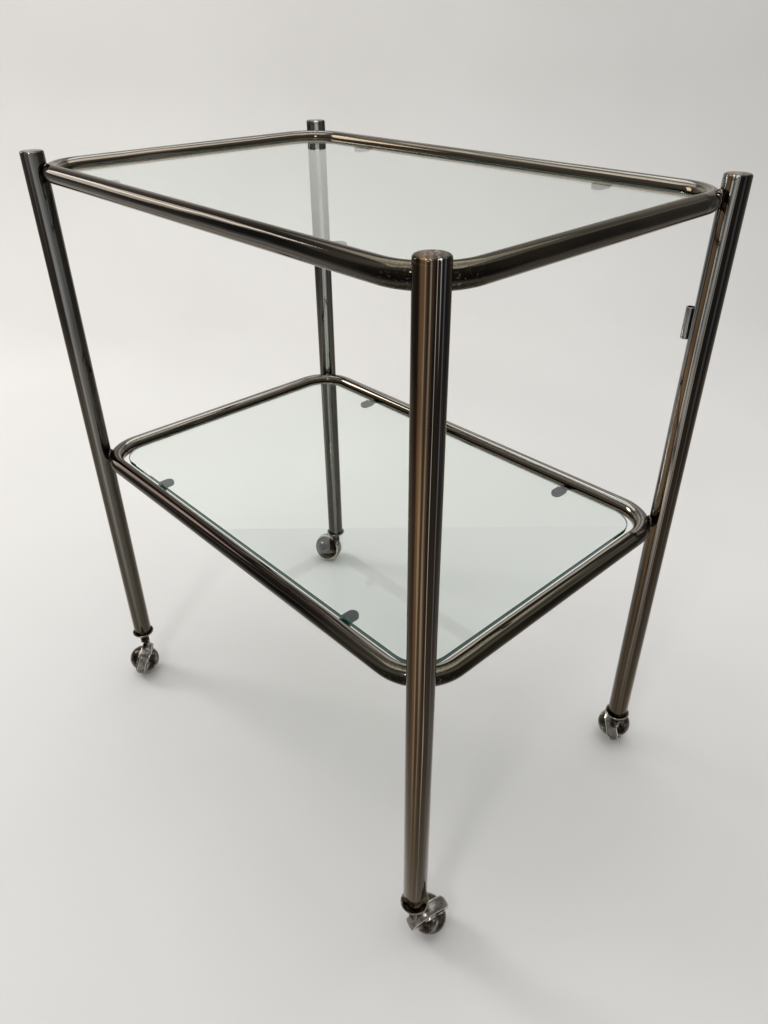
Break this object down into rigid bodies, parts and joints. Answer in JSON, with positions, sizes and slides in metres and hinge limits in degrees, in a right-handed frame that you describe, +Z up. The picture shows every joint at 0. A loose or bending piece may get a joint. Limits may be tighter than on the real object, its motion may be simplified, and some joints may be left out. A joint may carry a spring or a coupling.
{
  "type": "bar cart",
  "caption": "Wheeled bar cart with chromed tube posts, two round-cornered tube rings holding loose clear glass shelves on rubber-tipped tabs, and swivelling metal ball casters.",
  "frame": {"origin": "on the floor, under the middle of the whole cart's bounding box with the casters as they stand", "axes": "+X along the shelves, +Y across them, +Z up; the front post stands at +X and -Y"},
  "size_m": [0.66, 0.4614, 0.743],
  "materials": {
    "chrome_tube": "polished, worn and lightly pitted",
    "caster_shell": "polished with fine scratches",
    "tread": "brushed round the wheel",
    "steel": "plain turned steel",
    "rubber": "matt black",
    "glass": "clear float glass with a green edge"
  },
  "bodies": {
    "frame": {"post_front": "chrome_tube", "post_cap_front": "chrome_tube", "ferrule_front": "caster_shell", "post_left": "chrome_tube", "post_cap_left": "chrome_tube", "ferrule_left": "caster_shell", "post_right": "chrome_tube", "post_cap_right": "chrome_tube", "ferrule_right": "caster_shell", "post_back": "chrome_tube", "post_cap_back": "chrome_tube", "ferrule_back": "caster_shell", "upper_ring": "chrome_tube", "upper_tab_front": "steel", "upper_tab_sleeve_front": "rubber", "upper_tab_left": "steel", "upper_tab_sleeve_left": "rubber", "upper_tab_right": "steel", "upper_tab_sleeve_right": "rubber", "upper_tab_back": "steel", "upper_tab_sleeve_back": "rubber", "lower_ring": "chrome_tube", "lower_tab_front": "steel", "lower_tab_sleeve_front": "rubber", "lower_tab_left": "steel", "lower_tab_sleeve_left": "rubber", "lower_tab_right": "steel", "lower_tab_sleeve_right": "rubber", "lower_tab_back": "steel", "lower_tab_sleeve_back": "rubber", "post_stub": "chrome_tube"},
    "upper_pane": {"upper_glass": "glass"},
    "lower_pane": {"lower_glass": "glass"},
    "caster_front": {"caster_stem_front": "steel", "caster_hood_front": "caster_shell", "caster_axle_front": "steel"},
    "wheel_front": {"caster_wheel_front": "tread", "caster_dome_front": "caster_shell"},
    "caster_left": {"caster_stem_left": "steel", "caster_hood_left": "caster_shell", "caster_axle_left": "steel"},
    "wheel_left": {"caster_wheel_left": "tread", "caster_dome_left": "caster_shell"},
    "caster_right": {"caster_stem_right": "steel", "caster_hood_right": "caster_shell", "caster_axle_right": "steel"},
    "wheel_right": {"caster_wheel_right": "tread", "caster_dome_right": "caster_shell"},
    "caster_back": {"caster_stem_back": "steel", "caster_hood_back": "caster_shell", "caster_axle_back": "steel"},
    "wheel_back": {"caster_wheel_back": "tread", "caster_dome_back": "caster_shell"}
  },
  "joints": [
    {"name": "upper_pane_lift", "type": "slide", "parent": "frame", "child": "upper_pane", "axis": [0, 0, 1], "range_m": [0, 0.12]},
    {"name": "lower_pane_lift", "type": "slide", "parent": "frame", "child": "lower_pane", "axis": [0, 0, 1], "range_m": [0, 0.12]},
    {"name": "front_swivel", "type": "hinge", "parent": "frame", "child": "caster_front", "pos_m": [0.305, -0.1978, 0.061], "axis": [0, 0, 1], "continuous": true},
    {"name": "front_wheel_spin", "type": "hinge", "parent": "caster_front", "child": "wheel_front", "pos_m": [0.30874, -0.18019, 0.02424], "axis": [0.9303, -0.1977, -0.309], "continuous": true},
    {"name": "left_swivel", "type": "hinge", "parent": "frame", "child": "caster_left", "pos_m": [-0.289, -0.1978, 0.061], "axis": [0, 0, 1], "continuous": true},
    {"name": "left_wheel_spin", "type": "hinge", "parent": "caster_left", "child": "wheel_left", "pos_m": [-0.27562, -0.20984, 0.02424], "axis": [0.6364, 0.7068, -0.309], "continuous": true},
    {"name": "right_swivel", "type": "hinge", "parent": "frame", "child": "caster_right", "pos_m": [0.305, 0.1912, 0.061], "axis": [0, 0, 1], "continuous": true},
    {"name": "right_wheel_spin", "type": "hinge", "parent": "caster_right", "child": "wheel_right", "pos_m": [0.29655, 0.20709, 0.02424], "axis": [-0.8397, -0.4465, -0.309], "continuous": true},
    {"name": "back_swivel", "type": "hinge", "parent": "frame", "child": "caster_back", "pos_m": [-0.289, 0.1912, 0.061], "axis": [0, 0, 1], "continuous": true},
    {"name": "back_wheel_spin", "type": "hinge", "parent": "caster_back", "child": "wheel_back", "pos_m": [-0.30591, 0.18504, 0.02424], "axis": [-0.3253, 0.8937, -0.309], "continuous": true}
  ]
}
